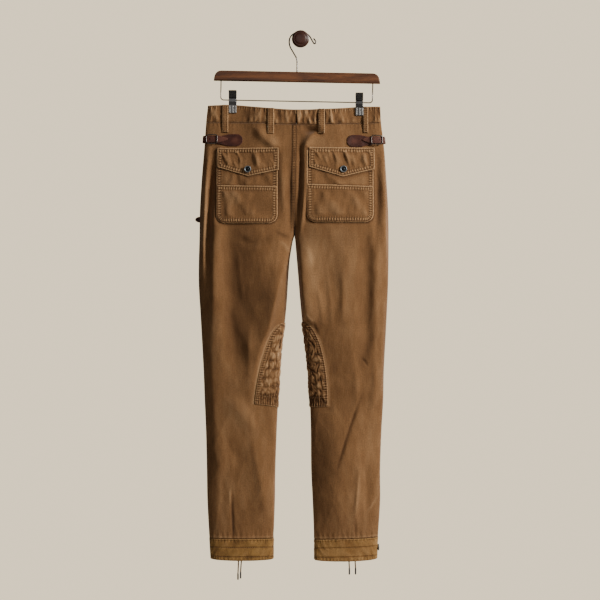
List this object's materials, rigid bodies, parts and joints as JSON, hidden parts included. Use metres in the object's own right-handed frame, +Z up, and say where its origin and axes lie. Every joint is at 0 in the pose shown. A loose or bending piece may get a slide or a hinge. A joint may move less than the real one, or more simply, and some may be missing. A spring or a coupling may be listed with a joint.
{
  "type": "cargo trousers on a clip hanger with a wall peg",
  "caption": "Long canvas trousers with flapped back pockets, knee patches and banded cuffs, held at the waist by a clip hanger on a wall peg.",
  "frame": {"origin": "centre of the wall peg's back face, on the wall", "axes": "+Y into the wall along the peg, +Z up, +X along the hanger towards the wearer's right leg; the trousers' back faces -Y"},
  "size_m": [0.4458, 0.0797, 1.2597],
  "materials": {
    "cloth": "washed cotton canvas, tan brown, matt",
    "cuff_cloth": "washed cotton canvas, ochre, matt",
    "leather": "dark red-brown leather, satin",
    "wood": "stained and varnished hardwood",
    "steel": "nickel-plated steel, bright",
    "black_grip": "black ribbed rubber",
    "button_metal": "blue-grey burnished metal",
    "cord": "waxed cotton cord, brown",
    "cord_tip": "dark grey moulded tip"
  },
  "bodies": {
    "root": {"wall_peg": "wood", "hanger_hook": "steel", "hanger_bar": "wood", "hanger_wire": "steel", "clip_left_jaw_front": "steel", "clip_left_jaw_back": "steel", "clip_left_sleeve": "steel", "clip_left_grip": "black_grip", "clip_right_jaw_front": "steel", "clip_right_jaw_back": "steel", "clip_right_sleeve": "steel", "clip_right_grip": "black_grip", "back_panel_left": "cloth", "back_panel_right": "cloth", "front_panel_left": "cloth", "front_panel_right": "cloth", "waistband_back_left": "cloth", "waistband_back_right": "cloth", "waistband_front_left": "cloth", "waistband_front_right": "cloth", "cuff_left": "cuff_cloth", "cuff_right": "cuff_cloth", "knee_patch_left": "cloth", "knee_patch_right": "cloth", "pocket_left": "cloth", "pocket_right": "cloth", "pocket_lower_left": "cloth", "pocket_lower_right": "cloth", "pocket_flap_left": "cloth", "pocket_flap_right": "cloth", "pocket_button_left": "button_metal", "pocket_button_right": "button_metal", "cuff_button_left": "button_metal", "cuff_button_right": "button_metal", "waist_button": "button_metal", "fly_placket": "cloth", "cinch_tab_left": "leather", "cinch_tab_right": "leather", "cinch_strap_left": "leather", "cinch_strap_right": "leather", "cinch_buckle_left": "steel", "cinch_buckle_right": "steel", "belt_loop_side_left": "cloth", "belt_loop_back_left": "cloth", "belt_loop_back_right": "cloth", "belt_loop_side_right": "cloth", "belt_loop_front_left": "cloth", "belt_loop_front_right": "cloth", "side_tab_left": "leather", "cuff_cord_left_a": "cord", "cuff_cord_tip_left_a": "cord_tip", "cuff_cord_left_b": "cord", "cuff_cord_tip_left_b": "cord_tip", "cuff_cord_right_a": "cord", "cuff_cord_tip_right_a": "cord_tip", "cuff_cord_right_b": "cord", "cuff_cord_tip_right_b": "cord_tip"}
  },
  "joints": []
}
